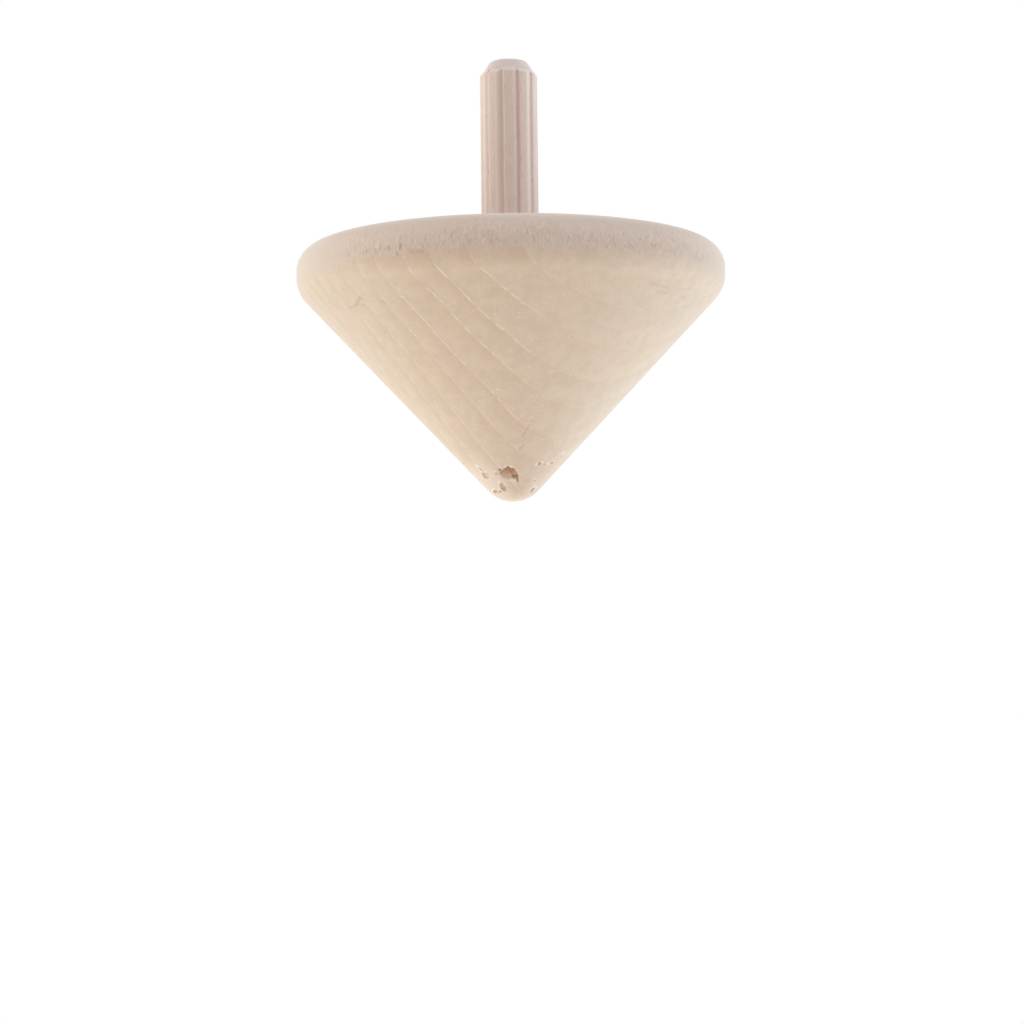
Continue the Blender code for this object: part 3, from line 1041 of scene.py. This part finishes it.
# Offsets that give a flute or a land another chance for each thing that varies
WIDTH_LUCK, DEPTH_LUCK, LAND_LUCK = 0.0, 40.0, 80.0
CREST_LUCK, STRENGTH_LUCK, SHOVE_LUCK = 120.0, 160.0, 200.0
WAVES_PER_METRE = 70.0
CREST_MIDDLE, CREST_REACH = -0.95, 0.75
CREST_RANGE = (0.15, 0.65, 0.15, 1.0)
STRENGTH_RANGE = (0.0, 0.5, 0.3, 1.0)
CREST_STOPS = (0.7 * MM, 0.3 * MM)
LEAST_RADIUS = 1e-6


def keep_number(geometry, name, value):
    """Store a number on every point of a mesh."""
    sources = {"Geometry": geometry, "Name": name, "Value": value}
    return fed("GeometryNodeStoreNamedAttribute", sources, data_type="FLOAT", domain="POINT")["Geometry"]


def uneven(key, offset, amount):
    """A factor round one, different for every flute."""
    return times_plus(minus(chance(key, offset), 0.5), amount, 1.0)


def make_flute_press():
    """The tree that presses the flutes and ends the lands."""
    inputs = {"Geometry": GEOMETRY, **FLUTES, "Material": MATERIAL}
    tree, given, result = new_group("press_flutes", inputs, {"Geometry": GEOMETRY}, "GeometryNodeTree")
    position = new_node(tree, "GeometryNodeInputPosition").outputs["Position"]
    x, y, z = split(position)
    flutes, bite = given["Flute Count"], given["Bite"]
    land_end, unevenness = given["Land End"], given["Unevenness"]
    pitch = divided(2 * math.pi, flutes)
    place_round = divided(minus(calc("ARCTAN2", y, x), given["First Flute"]), pitch)
    nearest = calc("ROUND", place_round)
    key = plus(calc("FLOORED_MODULO", nearest, flutes), given["Seed"])

    wave = wobble(joined(key, 0.0, times(z, WAVES_PER_METRE)), 1.0)
    drift = times(plus(wave, minus(chance(key, SHOVE_LUCK), 0.5)), given["Drift"])
    arc = times_plus(times(minus(place_round, nearest), pitch), given["Radius"], drift)
    across = divided(arc, times(given["Flute Width"], 0.5, uneven(key, WIDTH_LUCK, unevenness)))
    left = divided(plus(across, 1.0), plus(bite, 1.0))
    right = divided(minus(1.0, across), minus(1.0, bite))
    dip = step(lesser(left, right), 0.0, 1.0)
    strength = step(chance(key, STRENGTH_LUCK), *STRENGTH_RANGE)
    depth = times(given["Flute Depth"], strength, uneven(key, DEPTH_LUCK, unevenness))

    shaft = step(z, *(minus(land_end, stop) for stop in CREST_STOPS), 1.0, 0.0)
    # How strongly each flute's lip is raised and carries the painted highlight
    crest_amount = step(chance(key, CREST_LUCK), *CREST_RANGE)
    crest = times(hump(across, CREST_MIDDLE, CREST_REACH), shaft, crest_amount)
    radius = distance(level(position))
    floor = minus(given["Radius"], times(dip, depth))
    land = plus(calc("FLOORED_MODULO", calc("FLOOR", place_round), flutes), given["Seed"])
    fray = times_plus(mottle(position, 2500.0), 0.6, chance(land, LAND_LUCK))
    short = times(given["Land Raggedness"], minus(fray, 0.8))
    room = greater(minus(minus(land_end, z), short), 0.0)
    bevel = times_plus(room, math.tan(LAND_BEVEL), given["Nose Radius"])
    new_radius = lesser(lesser(radius, floor), bevel)
    new_radius = times_plus(crest, given["Crest Height"], new_radius)
    share = divided(new_radius, greater(radius, LEAST_RADIUS))

    pushed = divided(minus(radius, floor), given["Flute Depth"], clamp=True)
    geometry = keep_number(given["Geometry"], "pressed", pushed)
    geometry = keep_number(geometry, "crest", crest)
    moved = joined(times(x, share), times(y, share), z)
    geometry = fed("GeometryNodeSetPosition", {"Geometry": geometry, "Position": moved})["Geometry"]
    geometry = fed("GeometryNodeRealizeInstances", {"Geometry": geometry})["Geometry"]
    painted = fed("GeometryNodeSetMaterial", {"Geometry": geometry, "Material": given["Material"]})
    feed(painted["Geometry"], result["Geometry"])
    return tree


def run_tree(piece, tree, values):
    """Run a geometry tree on a piece with its own values, and keep the result as a plain mesh."""
    modifier = piece.modifiers.new(tree.name, "NODES")
    modifier.node_group = tree
    names = {item.name: item.identifier for item in tree.interface.items_tree if item.in_out == "INPUT"}
    for name, value in values.items():
        modifier[names[name]] = value
    bpy.context.view_layer.update()
    graph = bpy.context.evaluated_depsgraph_get()
    mesh = bpy.data.meshes.new_from_object(piece.evaluated_get(graph))
    piece.modifiers.remove(modifier)
    old, piece.data = piece.data, mesh
    bpy.data.meshes.remove(old)
    mesh.name = piece.name


run_tree(dowel, make_flute_press(), {**FLUTES, "Material": dowel_wood})
dowel.data.shade_smooth()
dowel.data.set_sharp_from_angle(angle=SHARP)
print("dowel faces:", len(dowel.data.polygons))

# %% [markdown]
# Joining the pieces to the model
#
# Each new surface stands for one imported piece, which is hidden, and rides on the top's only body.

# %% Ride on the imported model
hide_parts("cone_body")
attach(body, "root")
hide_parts("fluted_dowel")
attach(dowel, "root")
print("body stands for cone_body, dowel stands for fluted_dowel")

# %% [markdown]
# Camera
#
# The picture was taken from a little below the tip, so the underside of the cone fills it. The camera
# stands twelve rim radii away from a point three quarters of a radius above the tip, and is then tilted
# so that this point falls where it lies in the picture.

# %% Camera
IMAGE_SIZE = 1024
AIM_HEIGHT = 0.75 * RIM_RADIUS
CAMERA_DISTANCE = 12.0 * RIM_RADIUS
CAMERA_ELEVATION = math.radians(-7.54)
CAMERA_ROLL = math.radians(0.683)
PIXELS_PER_RIM_RADIUS = 213.97
AIM_PIXEL = (511.6, 341.45)
SENSOR = 36.0
CLIP_START = 0.01


def make_camera():
    """The camera of the photograph, in front of the top."""
    aim = Vector((0.0, 0.0, AIM_HEIGHT))
    back = Vector((0.0, -math.cos(CAMERA_ELEVATION), math.sin(CAMERA_ELEVATION)))
    focal = PIXELS_PER_RIM_RADIUS * CAMERA_DISTANCE / RIM_RADIUS
    lift = math.asin((IMAGE_SIZE / 2 - AIM_PIXEL[1]) / focal)
    side = math.asin((IMAGE_SIZE / 2 - AIM_PIXEL[0]) / focal)
    data = bpy.data.cameras.new("camera")
    data.sensor_width = SENSOR
    data.lens = focal * math.cos(lift) * SENSOR / IMAGE_SIZE
    data.clip_start = CLIP_START
    camera = new_object("camera", data)
    turned = (-back).to_track_quat("-Z", "Y").to_matrix()
    for angle, axis in ((-CAMERA_ROLL, "Z"), (-lift, "X"), (-side, "Y")):
        turned = turned @ Matrix.Rotation(angle, 3, axis)
    camera.matrix_world = Matrix.Translation(aim + back * CAMERA_DISTANCE) @ turned.to_4x4()
    bpy.context.scene.camera = camera
    return camera


camera = make_camera()
print("camera at", tuple(round(value, 3) for value in camera.location))

# %% [markdown]
# Floor, light and background
#
# The top was shown in a white tent. Light comes from all sides: coolest from behind, the right and above,
# dimmest from the front, where the camera stands, and strongest round the sides. A colour that changes
# evenly with direction says all of that at once, and two broad, weak panels lift the left and the right
# edge. The floor is a pale sheet that fades out in a circle. The camera looks from under it, so it shows
# only from above, and it throws no light or shadow on the top.

# %% Floor
FLOOR_RADIUS = 0.5
FLOOR_FADE = (0.10, 0.42)
FLOOR_COLOUR = (0.900, 0.843, 0.776)
FLOOR_ROUGHNESS = 0.9


def make_floor():
    """A pale sheet that is seen only from above."""
    material, tree, shader, position = new_material("pale_floor")
    feed_all(shader, {"Base Color": FLOOR_COLOUR, "Roughness": FLOOR_ROUGHNESS, "Specular IOR Level": 0.0})
    clear = new_node(tree, "ShaderNodeBsdfTransparent")
    fade = step(distance(position), *FLOOR_FADE)
    back = new_node(tree, "ShaderNodeNewGeometry").outputs["Backfacing"]
    mix_shaders(greater(fade, back), shader.outputs["BSDF"], clear.outputs["BSDF"],
                tree.nodes["Material Output"])
    corners = [(x * FLOOR_RADIUS, y * FLOOR_RADIUS, 0.0) for x, y in ((-1, -1), (1, -1), (1, 1), (-1, 1))]
    floor = mesh_object("floor", corners, [(0, 1, 2, 3)], material)
    floor.visible_diffuse = False
    floor.visible_glossy = False
    floor.visible_shadow = False
    return floor


make_floor()
print("floor fades out at", FLOOR_FADE[1], "m")

# %% World light
LIGHT_LEVEL = (1.045, 1.065, 1.095)
LIGHT_RIGHT = (-0.04, 0.005, 0.08)
LIGHT_BEHIND = (0.218, 0.250, 0.264)
LIGHT_ABOVE = (-0.13, -0.07, 0.02)
LIGHT_ROUND = (0.87, 1.00, 1.06)
WHITE = (1.0, 1.0, 1.0)


def make_world():
    """The light of the tent, with plain white behind the top and in its gloss."""
    world = bpy.data.worlds.new("white_tent")
    world.use_nodes = True
    tree = world.node_tree
    light = tree.nodes["Background"]
    right, behind, above = split(new_node(tree, "ShaderNodeTexCoord").outputs["Generated"])
    beside = minus(1 / 3, times(behind, behind))
    shares = ((LIGHT_RIGHT, right), (LIGHT_BEHIND, behind), (LIGHT_ABOVE, above), (LIGHT_ROUND, beside))
    colour = LIGHT_LEVEL
    for change, share in shares:
        colour = vector_plus(colour, scaled(change, share))
    feed(colour, light.inputs["Color"])
    plain = new_node(tree, "ShaderNodeBackground")
    feed(WHITE, plain.inputs["Color"])
    path = new_node(tree, "ShaderNodeLightPath").outputs
    mirrored = greater(path["Is Glossy Ray"], path["Is Transmission Ray"])
    mix_shaders(greater(path["Is Camera Ray"], mirrored), light.outputs["Background"],
                plain.outputs["Background"], tree.nodes["World Output"])
    bpy.context.scene.world = world


make_world()
print("world light level", LIGHT_LEVEL)

# %% Light panels
PANEL_SIZE = 0.35
PANEL_DISTANCE = 0.45
PANELS = (
    # name, direction from the top, power in watts, colour
    ("left_panel", (-1.0, 0.25, -0.5), 0.34, (0.92, 1.0, 1.0)),
    ("right_panel", (0.85, 0.5, -0.55), 0.36, (0.78, 0.96, 1.0)),
)
for name, direction, power, colour in PANELS:
    lamp = bpy.data.lights.new(name, "AREA")
    lamp.shape = "DISK"
    lamp.size = PANEL_SIZE
    lamp.energy = power
    lamp.color = colour
    panel = new_object(name, lamp)
    away = Vector(direction).normalized()
    panel.location = Vector((0.0, 0.0, AIM_HEIGHT)) + away * PANEL_DISTANCE
    panel.rotation_mode = "QUATERNION"
    panel.rotation_quaternion = away.to_track_quat("Z", "Y")
print("panels:", [panel[0] for panel in PANELS])

bpy.context.scene.view_settings.view_transform = "Standard"
